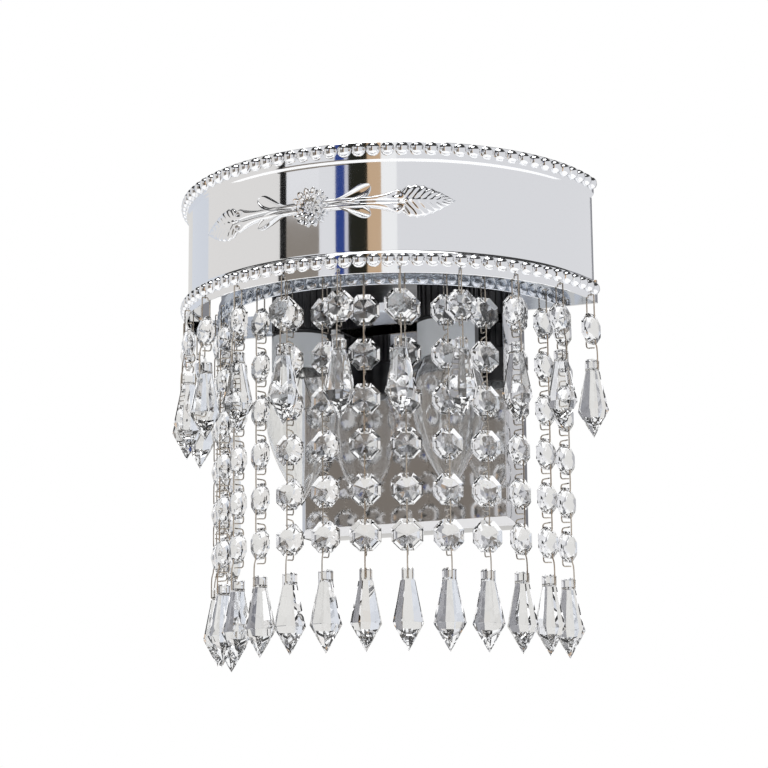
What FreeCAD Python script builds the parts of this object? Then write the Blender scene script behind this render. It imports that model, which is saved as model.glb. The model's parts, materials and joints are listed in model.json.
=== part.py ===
import FreeCAD, Part
import math
import os

Vec = FreeCAD.Vector

# A half-round crystal wall lamp. Units are millimetres and +Z is up. The wall is the plane
# y = 0, the lamp's front faces -Y, and the origin is on the wall at the back plate's centre.

# Back plate and wall bracket
PLATE_WIDTH = 112.0
PLATE_HEIGHT = 150.0
PLATE_WALL_DEPTH = 15.4
PLATE_BEVEL_WIDTH = 3.7
PLATE_BEVEL_DEPTH = 4.6
PLATE_SHEET = 1.0
BRACKET_HEIGHT = 18.0
BRACKET_SHEET = 1.5
BRACKET_EAR_DEPTH = 12.0
WALL_SLOT_SPACING = 60.0
WALL_SLOT_LENGTH = 12.0
WALL_SLOT_WIDTH = 4.5
WALL_OUTLET_WIDTH = 10.0
SIDE_SCREW_RADIUS = 2.0
SIDE_SCREW_HEAD_RADIUS = 3.8
SIDE_SCREW_HEAD_HEIGHT = 2.0
SIDE_SCREW_LENGTH = 7.0
SIDE_SCREW_DEPTH = 7.2
SIDE_SCREW_SIDE_COUNT = 8
TERMINAL_WIDTH = 30.0
TERMINAL_DEPTH = 12.0
TERMINAL_HEIGHT = 16.0
TERMINAL_CENTRE_Z = -32.0
TERMINAL_OPENING = 5.0

# Half-round band and inner ring
BAND_RADIUS = 102.4
BAND_HEIGHT = 60.4
BAND_LOWER_Z = 25.0
BAND_CENTRE_Y = -26.5
BAND_END_Y = -30.0
BAND_SHEET = 0.9
RIM_STEP = 1.1
UPPER_RIM_HEIGHT = 8.0
LOWER_RIM_HEIGHT = 9.2
UPPER_BEAD_INSET = 3.4
LOWER_BEAD_HEIGHT = 6.0
RING_INSET = 15.9
RING_HEIGHT = 24.0
RING_LIFT = 1.4
BEAD_RADIUS = 2.7
BEAD_PITCH = 6.45
BEAD_SIDE_COUNT = 4
BEAD_RISE = 2.3

# Cross strip behind the band's ends
STRIP_HEIGHT = 11.0
STRIP_SHEET = 1.5
STRIP_TAB_X = 30.0
STRIP_TAB_WIDTH = 10.0

# Hook holes in the flanges
HOOK_HOLE_HEIGHT = 2.4
HOOK_SLOT_WIDTH = 1.1
HOOK_SLOT_HEIGHT = 1.6

# Strands
SHORT_STRAND_COUNT = 12
SHORT_FIRST_ANGLE = 6.0
LONG_STRAND_COUNT = 15
LONG_FIRST_ANGLE = 4.0
LONG_OCTAGON_COUNT = 6
SHORT_OCTAGON_COUNT = 1
FIRST_OCTAGON_DROP = 16.5
OCTAGON_PITCH = 20.3
OCTAGON_WIDTH = 14.0
OCTAGON_THICKNESS = 7.2
CRYSTAL_SIDE_COUNT = 8
CRYSTAL_HOLE = 1.3
CRYSTAL_HOLE_INSET = 2.2
HANGER_DROP = 11.7
PENDANT_HEAD_WIDTH = 4.6
PENDANT_HOLE_DROP = 2.4
PENDANT_WIDTH = 13.4
PENDANT_SHOULDER_DROP = 24.2
PENDANT_LENGTH = 36.6
WIRE = 0.65
WIRE_SIDE_COUNT = 3
WIRE_FLAT_SHARE = 0.6
LOAD_GAP = 0.1
WIRE_REACH = 2.0
HANGER_SPREAD = 3.5
LINK_CURL = 3.4
STRAND_TURN_STEP = 2.4
STRAND_TURN_CYCLE = 9
STRAND_TURN_STRIDE = 4

# Lamp bracket, holders and bulbs
HOLDER_X = 37.5
HOLDER_Y = -56.0
HOLDER_RADIUS = 14.3
HOLDER_LOWER_Z = -1.0
HOLDER_SLEEVE_HEIGHT = 18.0
HOLDER_RIBBED_HEIGHT = 26.0
HOLDER_CAP_HEIGHT = 8.4
HOLDER_CAP_RADIUS = 10.0
HOLDER_RIB_COUNT = 12
HOLDER_RIB_DEPTH = 0.9
HOLDER_MOUTH_RADIUS = 12.0
HOLDER_MOUTH_DEPTH = 13.0
HOLDER_BORE_RADIUS = 8.0
HOLDER_BORE_DEPTH = 36.0
NIPPLE_RADIUS = 5.0
NIPPLE_CLEARANCE = 0.1
NIPPLE_LENGTH = 6.0
NUT_ACROSS_FLATS = 14.0
NUT_HEIGHT = 3.0
ARM_SHEET = 1.5
ARM_WIDTH = 104.0
ARM_FRONT_MARGIN = 12.0
ARM_FOOT_HEIGHT = 14.0
BULB_CAP_RADIUS = 6.95
BULB_CAP_LENGTH = 19.0
BULB_CONTACT_RADIUS = 3.5
BULB_GLASS_LENGTH = 78.0
BULB_RADIUS = 17.4
BULB_NECK_RADIUS = 7.2
BULB_GLASS = 0.8
BULB_SWELL = ((0.6, 0.16), (1.0, 0.36), (0.97, 0.48), (0.62, 0.76))
TURNED_SIDE_COUNT = 20
FILAMENT_WIRE = 0.6
FILAMENT_DROP = 30.0
FILAMENT_SPREAD = 5.0
FILAMENT_FOOT = 3.0

# Flower ornament
ORNAMENT_HEIGHT_ON_BAND = 32.8
FLOWER_RADIUS = 8.2
FLOWER_THICKNESS = 1.6
FLOWER_PETAL_COUNT = 8
LEAF_THICKNESS = 1.4
LEAF_START = 38.0
LEAF_END = 66.0
LEAF_HALF_WIDTH = 7.4
SIDE_LEAF_CENTRE = 21.8
SIDE_LEAF_LENGTH = 22.0
SIDE_LEAF_HALF_WIDTH = 5.0
STEM_HALF_WIDTH = 1.6
STEM_OVERLAP = 3.0

PLATE_DEPTH = PLATE_WALL_DEPTH + PLATE_BEVEL_DEPTH
PLATE_FRONT_Y = -PLATE_DEPTH
BAND_CENTRE = Vec(0, BAND_CENTRE_Y, 0)
RING_RADIUS = BAND_RADIUS - RING_INSET
RING_LOWER_Z = BAND_LOWER_Z + RING_LIFT


def faceted_solid(rings):
    """Closed solid with flat faces through a row of rings; a ring of one point is a tip."""
    faces = []
    for low, high in zip(rings, rings[1:]):
        count = max(len(low), len(high))
        for i in range(count):
            j = (i + 1) % count
            corners = [low[0]] if len(low) == 1 else [low[i], low[j]]
            corners += [high[0]] if len(high) == 1 else [high[j], high[i]]
            faces.append(flat_face(corners))
    for ring in (rings[0], rings[-1]):
        if len(ring) > 1:
            faces.append(flat_face(ring))
    solid = Part.Solid(Part.Shell(faces))
    if solid.Volume < 0:
        solid.reverse()
    return solid


def flat_face(points):
    return Part.Face(Part.makePolygon(list(points) + [points[0]]))


def polygon_ring(sides, across_flats, centre, first_axis, second_axis):
    """Corners of a regular polygon with a flat on each of the two axes."""
    corner_radius = across_flats / 2 / math.cos(math.pi / sides)
    points = []
    for i in range(sides):
        angle = 2 * math.pi * (i + 0.5) / sides
        first = first_axis * (corner_radius * math.cos(angle))
        second = second_axis * (corner_radius * math.sin(angle))
        points.append(centre + first + second)
    return points


def box_between(low, high):
    return Part.makeBox(high.x - low.x, high.y - low.y, high.z - low.z, low)


def centred_box(centre, size):
    return box_between(centre - size * 0.5, centre + size * 0.5)


def bent_wire(points, size):
    """Wire with few sides, mitred at each bend of its path and pointed at both ends."""
    steps = [(b - a).normalize() for a, b in zip(points, points[1:])]
    side = steps[0].cross(steps[1]).normalize()
    up = side.cross(steps[0])
    rings = [polygon_ring(WIRE_SIDE_COUNT, size * WIRE_FLAT_SHARE, points[0], side, up)]
    for i, step in enumerate(steps):
        normal = step if i + 1 == len(steps) else (step + steps[i + 1]).normalize()
        reach = [(points[i + 1] - p).dot(normal) / step.dot(normal) for p in rings[-1]]
        rings.append([p + step * t for p, t in zip(rings[-1], reach)])
    return faceted_solid([[points[0]]] + rings[1:-1] + [[points[-1]]])


def turned(profile):
    """Round piece with flat sides, from (radius, height) points; a radius of 0 is a tip."""
    rings = []
    for radius, height in profile:
        centre = Vec(0, 0, height)
        across = 2 * radius * math.cos(math.pi / TURNED_SIDE_COUNT)
        ring = polygon_ring(TURNED_SIDE_COUNT, across, centre, Vec(1, 0, 0), Vec(0, 1, 0))
        rings.append(ring if radius else [centre])
    return faceted_solid(rings)


def revolved(profile):
    """Turns a closed profile of (radius, height) points about the band's axis."""
    face = flat_face([Vec(r, 0, z) for r, z in profile])
    shape = face.revolve(Vec(0, 0, 0), Vec(0, 0, 1), 360.0)
    shape.translate(BAND_CENTRE)
    return shape


# Back plate and what is in it


def tray(width, height, wall_depth, inset, depth):
    """Box with a bevelled front, standing on the wall plane."""
    rings = []
    for y, margin in ((0.0, 0.0), (-wall_depth, 0.0), (-depth, inset)):
        x = width / 2 - margin
        z = height / 2 - margin
        rings.append([Vec(-x, y, -z), Vec(x, y, -z), Vec(x, y, z), Vec(-x, y, z)])
    return faceted_solid(rings)


def side_screw_hole(side):
    start = Vec(side * (PLATE_WIDTH / 2 + 1), -SIDE_SCREW_DEPTH, 0)
    return screw_shank(start, Vec(-side * SIDE_SCREW_LENGTH, 0, 0))


def screw_shank(start, run):
    return flat_face(screw_ring(start, SIDE_SCREW_RADIUS)).extrude(run)


def back_plate():
    outer = tray(PLATE_WIDTH, PLATE_HEIGHT, PLATE_WALL_DEPTH, PLATE_BEVEL_WIDTH, PLATE_DEPTH)
    inner = tray(PLATE_WIDTH - 2 * PLATE_SHEET, PLATE_HEIGHT - 2 * PLATE_SHEET,
                 PLATE_WALL_DEPTH, PLATE_BEVEL_WIDTH, PLATE_DEPTH - PLATE_SHEET)
    shell = outer.cut(inner)
    return shell.cut(side_screw_hole(-1)).cut(side_screw_hole(1))


def wall_bracket():
    half = PLATE_WIDTH / 2 - PLATE_SHEET
    bar = box_between(Vec(-half, -BRACKET_SHEET, -BRACKET_HEIGHT / 2),
                      Vec(half, 0, BRACKET_HEIGHT / 2))
    for side in (-1, 1):
        ear = box_between(Vec(min(side * half, side * (half - BRACKET_SHEET)),
                              -BRACKET_EAR_DEPTH, -BRACKET_HEIGHT / 2),
                          Vec(max(side * half, side * (half - BRACKET_SHEET)),
                              0, BRACKET_HEIGHT / 2))
        bar = bar.fuse(ear).cut(side_screw_hole(side)).cut(wall_slot(side))
    outlet = centred_box(Vec(0, 0, 0), Vec(WALL_OUTLET_WIDTH, 4 * BRACKET_SHEET, WALL_OUTLET_WIDTH))
    return bar.cut(outlet).removeSplitter()


def wall_slot(side):
    radius = WALL_SLOT_WIDTH / 2
    reach = WALL_SLOT_LENGTH / 2 - radius
    centre = Vec(side * WALL_SLOT_SPACING / 2, 0, 0)
    deep = 4 * BRACKET_SHEET
    slot = centred_box(centre, Vec(2 * reach, deep, WALL_SLOT_WIDTH))
    for end in (-reach, reach):
        round_end = Part.makeCylinder(radius, deep, centre + Vec(end, deep / 2, 0), Vec(0, -1, 0))
        slot = slot.fuse(round_end)
    return slot


def side_screws():
    screws = []
    for side in (-1, 1):
        outside = Vec(side * PLATE_WIDTH / 2, -SIDE_SCREW_DEPTH, 0)
        inward = Vec(-side, 0, 0)
        shank = screw_shank(outside, inward * SIDE_SCREW_LENGTH)
        head = faceted_solid([screw_ring(outside, SIDE_SCREW_HEAD_RADIUS),
                              screw_ring(outside - inward * SIDE_SCREW_HEAD_HEIGHT, SIDE_SCREW_RADIUS)])
        screws.append(head.fuse(shank))
    return Part.makeCompound(screws)


def screw_ring(centre, radius):
    return polygon_ring(SIDE_SCREW_SIDE_COUNT, 2 * radius, centre, Vec(0, 1, 0), Vec(0, 0, 1))


def terminal_block():
    back = PLATE_FRONT_Y + PLATE_SHEET
    block = box_between(Vec(-TERMINAL_WIDTH / 2, back, TERMINAL_CENTRE_Z - TERMINAL_HEIGHT / 2),
                        Vec(TERMINAL_WIDTH / 2, back + TERMINAL_DEPTH,
                            TERMINAL_CENTRE_Z + TERMINAL_HEIGHT / 2))
    for i in (-1, 0, 1):
        centre = Vec(i * TERMINAL_WIDTH / 3, back + TERMINAL_DEPTH, TERMINAL_CENTRE_Z)
        block = block.cut(centred_box(centre, Vec(TERMINAL_OPENING, TERMINAL_DEPTH, TERMINAL_OPENING)))
    return block


# Band, inner ring and cross strip


def band_profile():
    """Sheet with a rim at each edge that stands proud of the plain middle."""
    middle = BAND_RADIUS - RIM_STEP
    inside = middle - BAND_SHEET
    high = BAND_LOWER_Z + BAND_HEIGHT
    high_step = high - UPPER_RIM_HEIGHT
    return lower_rim(BAND_RADIUS, BAND_LOWER_Z) + [
        (middle, high_step), (BAND_RADIUS, high_step), (BAND_RADIUS, high), (inside, high)]


def ring_profile():
    """Sheet with one proud rim, at its lower edge."""
    middle = RING_RADIUS - RIM_STEP
    high = RING_LOWER_Z + RING_HEIGHT
    return lower_rim(RING_RADIUS, RING_LOWER_Z) + [(middle, high), (middle - BAND_SHEET, high)]


def lower_rim(radius, low):
    """Outline of the lower edge: its inside, the thin flange, and the step to the middle."""
    middle = radius - RIM_STEP
    flange_inside = radius - BAND_SHEET
    step = low + LOWER_RIM_HEIGHT
    return [(middle - BAND_SHEET, step - BAND_SHEET), (flange_inside, step - BAND_SHEET),
            (flange_inside, low), (radius, low), (radius, step), (middle, step)]


def half_round(profile, radius):
    """Front half of a turned sheet, cut off flat where the cross strip stands."""
    full = revolved(profile)
    size = 4 * radius
    behind = box_between(Vec(-size, BAND_END_Y, -size), Vec(size, size, size))
    return full.cut(behind)


def on_circle(radius, angle_deg, height):
    """Point at an angle from +X round the front of the circle that the band is on."""
    angle = math.radians(angle_deg)
    return BAND_CENTRE + Vec(radius * math.cos(angle), -radius * math.sin(angle), height)


def bead(radius, angle_deg, height):
    """Pearl: a low faceted point that stands on the sheet's outer face."""
    base = polygon_ring(BEAD_SIDE_COUNT, 2 * BEAD_RADIUS, Vec(0, 0, 0), Vec(1, 0, 0), Vec(0, 0, 1))
    return placed(faceted_solid([base, [Vec(0, -BEAD_RISE, 0)]]), radius, angle_deg, height)


def placed(shape, radius, angle_deg, height, turn_deg=0.0):
    """Copy of a shape that faces -Y, put on the circle facing outwards."""
    facing = FreeCAD.Rotation(Vec(0, 0, 1), 90 - angle_deg + turn_deg)
    move = FreeCAD.Placement(on_circle(radius, angle_deg, height), facing)
    copy = shape.copy()
    copy.Placement = move.multiply(shape.Placement)
    return copy


def bead_row(radius, height):
    end_angle = math.degrees(math.asin((BAND_CENTRE_Y - BAND_END_Y) / radius))
    margin = math.degrees(BEAD_RADIUS / radius)
    first = end_angle + margin
    count = int(radius * math.radians(180 - 2 * first) / BEAD_PITCH) + 1
    step = (180 - 2 * first) / (count - 1)
    return [bead(radius, first + i * step, height) for i in range(count)]


def hook_holes(radius, lower_z, angles):
    cutter = centred_box(Vec(0, 0, 0), Vec(HOOK_SLOT_WIDTH, 6 * BAND_SHEET, HOOK_SLOT_HEIGHT))
    height = lower_z + HOOK_HOLE_HEIGHT
    return Part.makeCompound([placed(cutter, radius, angle, height) for angle in angles])


def strand_angles(count, first_angle):
    step = (180 - 2 * first_angle) / (count - 1)
    return [first_angle + i * step for i in range(count)]


def band_pearls():
    upper = bead_row(BAND_RADIUS, BAND_LOWER_Z + BAND_HEIGHT - UPPER_BEAD_INSET)
    return Part.makeCompound(upper + bead_row(BAND_RADIUS, BAND_LOWER_Z + LOWER_BEAD_HEIGHT))


def ring_pearls():
    return Part.makeCompound(bead_row(RING_RADIUS, RING_LOWER_Z + LOWER_BEAD_HEIGHT))


def outer_band():
    band = half_round(band_profile(), BAND_RADIUS)
    return band.cut(hook_holes(BAND_RADIUS, BAND_LOWER_Z, short_angles))


def inner_ring():
    ring = half_round(ring_profile(), RING_RADIUS)
    return ring.cut(hook_holes(RING_RADIUS, RING_LOWER_Z, long_angles))


def cross_strip():
    """Flat strip across the band's ends, with two tabs bent back to the plate."""
    reach = BAND_CENTRE_Y - BAND_END_Y
    half = math.sqrt(BAND_RADIUS ** 2 - reach ** 2)
    back = BAND_END_Y + STRIP_SHEET
    top = BAND_LOWER_Z + STRIP_HEIGHT
    strip = box_between(Vec(-half, BAND_END_Y, BAND_LOWER_Z), Vec(half, back, top))
    for side in (-1, 1):
        near = side * STRIP_TAB_X
        web = near + side * STRIP_SHEET
        far = near + side * STRIP_TAB_WIDTH
        arm = box_between(Vec(min(near, web), BAND_END_Y, BAND_LOWER_Z),
                          Vec(max(near, web), PLATE_FRONT_Y, top))
        foot = box_between(Vec(min(near, far), PLATE_FRONT_Y - STRIP_SHEET, BAND_LOWER_Z),
                           Vec(max(near, far), PLATE_FRONT_Y, top))
        strip = strip.fuse(arm).fuse(foot)
    return strip.removeSplitter()


# Crystals and wire


def octagon_crystal():
    """Eight-sided bead, cut on both sides to a point, with a hole near the top and bottom."""
    thick = OCTAGON_THICKNESS / 2
    edge = polygon_ring(CRYSTAL_SIDE_COUNT, OCTAGON_WIDTH, Vec(0, 0, 0), Vec(1, 0, 0), Vec(0, 0, 1))
    crystal = faceted_solid([[Vec(0, -thick, 0)], edge, [Vec(0, thick, 0)]])
    for side in (-1, 1):
        start = Vec(0, -thick, side * octagon_hole_height())
        section = polygon_ring(3, CRYSTAL_HOLE, start, Vec(0, 0, side), Vec(1, 0, 0))
        crystal = crystal.cut(flat_face(section).extrude(Vec(0, 2 * thick, 0)))
    return crystal


def octagon_hole_height():
    return OCTAGON_WIDTH / 2 - CRYSTAL_HOLE_INSET


def pendant_crystal():
    """Eight-sided drop with a hole from side to side near its flat top, at z = 0."""
    x_axis = Vec(1, 0, 0)
    y_axis = Vec(0, 1, 0)
    shoulder = Vec(0, 0, -PENDANT_SHOULDER_DROP)
    tip = Vec(0, 0, -PENDANT_LENGTH)
    drop = faceted_solid([polygon_ring(CRYSTAL_SIDE_COUNT, PENDANT_HEAD_WIDTH, Vec(0, 0, 0), x_axis, y_axis),
                          polygon_ring(CRYSTAL_SIDE_COUNT, PENDANT_WIDTH, shoulder, x_axis, y_axis),
                          [tip]])
    return drop.cut(centred_box(Vec(0, 0, -PENDANT_HOLE_DROP),
                                Vec(2 * PENDANT_WIDTH, CRYSTAL_HOLE, CRYSTAL_HOLE)))


def first_hole_z():
    """Middle of the wire in the first crystal's upper hole."""
    return -FIRST_OCTAGON_DROP + octagon_hole_height() + wire_rest()


def wire_rest():
    """How far a loaded wire lies off a hole's middle, towards the side that carries it."""
    return (CRYSTAL_HOLE - WIRE) / 2 - LOAD_GAP


def wire_link(upper_z, lower_z):
    """Straight back leg whose ends pass through an upper and a lower hole and turn back."""
    reach = WIRE_REACH
    return bent_wire([Vec(0, -reach, upper_z - LINK_CURL), Vec(0, -reach, upper_z),
                      Vec(0, reach, upper_z), Vec(0, reach, lower_z),
                      Vec(0, -reach, lower_z), Vec(0, -reach, lower_z + LINK_CURL)], WIRE)


def pendant_hanger(upper_z):
    """Bail from the last crystal's lower hole round the sides of the pendant's head."""
    lower_z = upper_z - HANGER_DROP
    slit = WIRE / 4
    spread = HANGER_SPREAD
    return bent_wire([Vec(-slit, 0, lower_z), Vec(-spread, 0, lower_z),
                      Vec(0, -WIRE_REACH, upper_z), Vec(0, WIRE_REACH, upper_z),
                      Vec(spread, 0, lower_z), Vec(slit, 0, lower_z)], WIRE)


def strand(octagons):
    """Crystals and wires of one strand, hanging from a hook hole at the origin."""
    crystals = []
    wires = [wire_link(-wire_rest(), first_hole_z())]
    hole = octagon_hole_height()
    for i in range(octagons):
        centre_z = -FIRST_OCTAGON_DROP - i * OCTAGON_PITCH
        crystal = octagon.copy()
        crystal.translate(Vec(0, 0, centre_z))
        crystals.append(crystal)
        lower_hole = centre_z - hole - wire_rest()
        if i + 1 < octagons:
            next_hole = centre_z - OCTAGON_PITCH + hole + wire_rest()
            wires.append(wire_link(lower_hole, next_hole))
    wires.append(pendant_hanger(lower_hole))
    drop = pendant.copy()
    drop.translate(Vec(0, 0, lower_hole - HANGER_DROP - wire_rest() + PENDANT_HOLE_DROP))
    crystals.append(drop)
    return crystals, wires


def strand_turn(index):
    """Small turn of a strand about its own line, different from its neighbours'."""
    place = index * STRAND_TURN_STRIDE % STRAND_TURN_CYCLE
    return STRAND_TURN_STEP * (place - STRAND_TURN_CYCLE // 2)


def hang(shapes, radius, lower_z, angle_deg, index):
    flange = radius - BAND_SHEET / 2
    height = lower_z + HOOK_HOLE_HEIGHT
    return Part.makeCompound([placed(s, flange, angle_deg, height, strand_turn(index)) for s in shapes])


# Lamp bracket, holders and bulbs


def holder_top_z():
    return HOLDER_LOWER_Z + HOLDER_SLEEVE_HEIGHT + HOLDER_RIBBED_HEIGHT + HOLDER_CAP_HEIGHT


def holder_axis(side, height=0.0):
    return Vec(side * HOLDER_X, HOLDER_Y, height)


def lamp_bracket():
    """Bent arm: a foot on the plate's front and a shelf over both lamp holders."""
    low = holder_top_z()
    half = ARM_WIDTH / 2
    front = HOLDER_Y - ARM_FRONT_MARGIN
    shelf = box_between(Vec(-half, front, low), Vec(half, PLATE_FRONT_Y, low + ARM_SHEET))
    foot = box_between(Vec(-half, PLATE_FRONT_Y - ARM_SHEET, low),
                       Vec(half, PLATE_FRONT_Y, low + ARM_FOOT_HEIGHT))
    arm = shelf.fuse(foot)
    for side in (-1, 1):
        hole_radius = NIPPLE_RADIUS + NIPPLE_CLEARANCE
        hole = turned([(hole_radius, -ARM_SHEET), (hole_radius, 2 * ARM_SHEET)])
        hole.translate(holder_axis(side, low))
        arm = arm.cut(hole)
    return arm.removeSplitter()


def lamp_holder(side):
    """Ribbed holder with a threaded nipple on top and a stepped socket below."""
    sleeve_top = HOLDER_SLEEVE_HEIGHT
    ribbed_top = sleeve_top + HOLDER_RIBBED_HEIGHT
    top = ribbed_top + HOLDER_CAP_HEIGHT
    sleeve = turned([(HOLDER_RADIUS, 0), (HOLDER_RADIUS, sleeve_top)])
    cap = turned([(HOLDER_CAP_RADIUS, ribbed_top), (HOLDER_CAP_RADIUS, top)])
    nipple = turned([(NIPPLE_RADIUS, top), (NIPPLE_RADIUS, top + NIPPLE_LENGTH)])
    body = sleeve.fuse(ribbed_collar(sleeve_top)).fuse(cap).fuse(nipple)
    body = body.cut(turned([(HOLDER_MOUTH_RADIUS, 0), (HOLDER_MOUTH_RADIUS, HOLDER_MOUTH_DEPTH)]))
    body = body.cut(turned([(HOLDER_BORE_RADIUS, 0), (HOLDER_BORE_RADIUS, HOLDER_BORE_DEPTH)]))
    body.translate(holder_axis(side, HOLDER_LOWER_Z))
    return body


def ribbed_collar(low):
    """Upright ribs round the holder, as one star-shaped prism."""
    points = []
    for i in range(4 * HOLDER_RIB_COUNT):
        angle = 2 * math.pi * (i + 0.5) / (4 * HOLDER_RIB_COUNT)
        radius = HOLDER_RADIUS if i % 4 < 2 else HOLDER_RADIUS - HOLDER_RIB_DEPTH
        points.append(Vec(radius * math.cos(angle), radius * math.sin(angle), low))
    return flat_face(points).extrude(Vec(0, 0, HOLDER_RIBBED_HEIGHT))


def holder_nuts():
    nuts = []
    for side in (-1, 1):
        base = holder_axis(side, holder_top_z() + ARM_SHEET)
        ring = polygon_ring(6, NUT_ACROSS_FLATS, base, Vec(1, 0, 0), Vec(0, 1, 0))
        nut = flat_face(ring).extrude(Vec(0, 0, NUT_HEIGHT))
        hole = turned([(NIPPLE_RADIUS, -NUT_HEIGHT), (NIPPLE_RADIUS, 2 * NUT_HEIGHT)])
        hole.translate(base)
        nuts.append(nut.cut(hole))
    return Part.makeCompound(nuts)


def bulb_top_z():
    """The cap's centre contact meets the end of the holder's bore."""
    return HOLDER_LOWER_Z + HOLDER_BORE_DEPTH


def bulb_cap_z():
    return bulb_top_z() - BULB_CAP_LENGTH - BULB_CONTACT_RADIUS


def bulb_base(side):
    """Screw cap with its centre contact, and the filament on its two lead wires."""
    cap = turned([(BULB_CAP_RADIUS, 0), (BULB_CAP_RADIUS, BULB_CAP_LENGTH),
                  (BULB_CONTACT_RADIUS, BULB_CAP_LENGTH + BULB_CONTACT_RADIUS)])
    cap.translate(holder_axis(side, bulb_cap_z()))
    return Part.makeCompound([cap, filament(side)])


def bulb_glass(side):
    """Candle-shaped envelope, open at the neck where the cap closes it."""
    glass = candle_shape(0).cut(candle_shape(BULB_GLASS))
    glass.translate(holder_axis(side, bulb_cap_z()))
    return glass


def candle_shape(inset):
    """Body inside the envelope's outline by an inset; BULB_SWELL holds shares of its sizes."""
    swell = [(share * BULB_RADIUS - inset, -place * BULB_GLASS_LENGTH) for share, place in BULB_SWELL]
    tip = (0, 2 * inset - BULB_GLASS_LENGTH)
    return turned([(BULB_NECK_RADIUS - inset, 0)] + swell + [tip])


def filament(side):
    base = holder_axis(side, bulb_cap_z())
    low = Vec(0, 0, -FILAMENT_DROP)
    foot = Vec(FILAMENT_FOOT, 0, 0)
    bend = Vec(FILAMENT_SPREAD, 0, 0)
    return bent_wire([base - foot, base - bend + low, base + bend + low, base + foot],
                     FILAMENT_WIRE)


# Flower ornament


def band_skin():
    """Slice over the band's plain middle, as thick as the leaves lying on it."""
    inside = BAND_RADIUS - RIM_STEP
    low = BAND_LOWER_Z + LOWER_RIM_HEIGHT
    high = BAND_LOWER_Z + BAND_HEIGHT - UPPER_RIM_HEIGHT
    return revolved([(inside, low), (inside + LEAF_THICKNESS, low),
                     (inside + LEAF_THICKNESS, high), (inside, high)])


def along_band(distance):
    """Angle at an arc length from the band's front middle, towards +X."""
    return 90 - math.degrees(distance / (BAND_RADIUS - RIM_STEP))


def leaf_cutter(outline, distance):
    """Outline of (sideways, up) points, pushed through the band where the leaf lies."""
    face = flat_face([Vec(x, -BAND_RADIUS / 4, z) for x, z in outline])
    prism = face.extrude(Vec(0, BAND_RADIUS / 2, 0))
    return placed(prism, BAND_RADIUS, along_band(distance), ornament_z())


def ornament_z():
    return BAND_LOWER_Z + ORNAMENT_HEIGHT_ON_BAND


def mirrored(outline, side):
    return [(side * x, z) for x, z in outline]


def long_leaf_outline():
    half = (LEAF_END - LEAF_START) / 2
    wide = LEAF_HALF_WIDTH
    upper = [(-half, STEM_HALF_WIDTH), (-0.2 * half, wide), (0.35 * half, 0.86 * wide), (half, 0.0)]
    lower = [(x, -z) for x, z in reversed(upper[:-1])]
    return upper + lower


def side_leaf_outline():
    half = SIDE_LEAF_LENGTH / 2
    wide = SIDE_LEAF_HALF_WIDTH
    return [(-half, -STEM_HALF_WIDTH), (-half, STEM_HALF_WIDTH), (0.1 * half, wide),
            (half, STEM_HALF_WIDTH), (half, -STEM_HALF_WIDTH), (-0.1 * half, -wide)]


def stem_outline(length):
    half = length / 2
    return [(-half, -STEM_HALF_WIDTH), (half, -STEM_HALF_WIDTH),
            (half, STEM_HALF_WIDTH), (-half, STEM_HALF_WIDTH)]


def flower():
    """Round blossom: petals about a raised middle, on a flat back cut to the band."""
    face_radius = BAND_RADIUS - RIM_STEP
    back = FLOWER_RADIUS ** 2 / face_radius
    petals = []
    for i in range(2 * FLOWER_PETAL_COUNT):
        turn = math.pi * i / FLOWER_PETAL_COUNT
        reach = FLOWER_RADIUS if i % 2 else 0.8 * FLOWER_RADIUS
        petals.append(Vec(reach * math.cos(turn), back, reach * math.sin(turn)))
    blossom = flat_face(petals).extrude(Vec(0, -FLOWER_THICKNESS - back, 0))
    x_axis = Vec(1, 0, 0)
    z_axis = Vec(0, 0, 1)
    foot = polygon_ring(FLOWER_PETAL_COUNT, FLOWER_RADIUS, Vec(0, -FLOWER_THICKNESS, 0), x_axis, z_axis)
    middle = faceted_solid([foot, [Vec(0, -2 * FLOWER_THICKNESS, 0)]])
    blossom = placed(blossom.fuse(middle), face_radius, 90, ornament_z())
    core = Part.makeCylinder(face_radius, BAND_HEIGHT, BAND_CENTRE + Vec(0, 0, BAND_LOWER_Z))
    return blossom.cut(core)


def flower_ornament():
    leaves = []
    stem_reach = LEAF_START - SIDE_LEAF_CENTRE
    for side in (-1, 1):
        leaf_middle = side * (LEAF_START + LEAF_END) / 2
        leaves.append(leaf_cutter(mirrored(long_leaf_outline(), side), leaf_middle))
        leaves.append(leaf_cutter(mirrored(side_leaf_outline(), side), side * SIDE_LEAF_CENTRE))
        leaves.append(leaf_cutter(stem_outline(stem_reach), side * (LEAF_START - STEM_OVERLAP)))
        leaves.append(leaf_cutter(stem_outline(stem_reach), side * FLOWER_RADIUS))
    return band_skin().common(leaves[0].multiFuse(leaves[1:])).fuse(flower())


def export(shape, node):
    shape.exportStep("parts/" + node + ".step")


def export_strands():
    short_crystals, short_wires = strand(SHORT_OCTAGON_COUNT)
    for i, angle in enumerate(short_angles):
        pieces = hang(short_crystals + short_wires, BAND_RADIUS, BAND_LOWER_Z, angle, i)
        export(pieces, "short_strand_%02d" % (i + 1))
    long_crystals, long_wires = strand(LONG_OCTAGON_COUNT)
    for i, angle in enumerate(long_angles):
        name = "long_strand_%02d" % (i + 1)
        export(hang(long_crystals, RING_RADIUS, RING_LOWER_Z, angle, i), name + "_crystals")
        export(hang(long_wires, RING_RADIUS, RING_LOWER_Z, angle, i), name + "_links")


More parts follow.
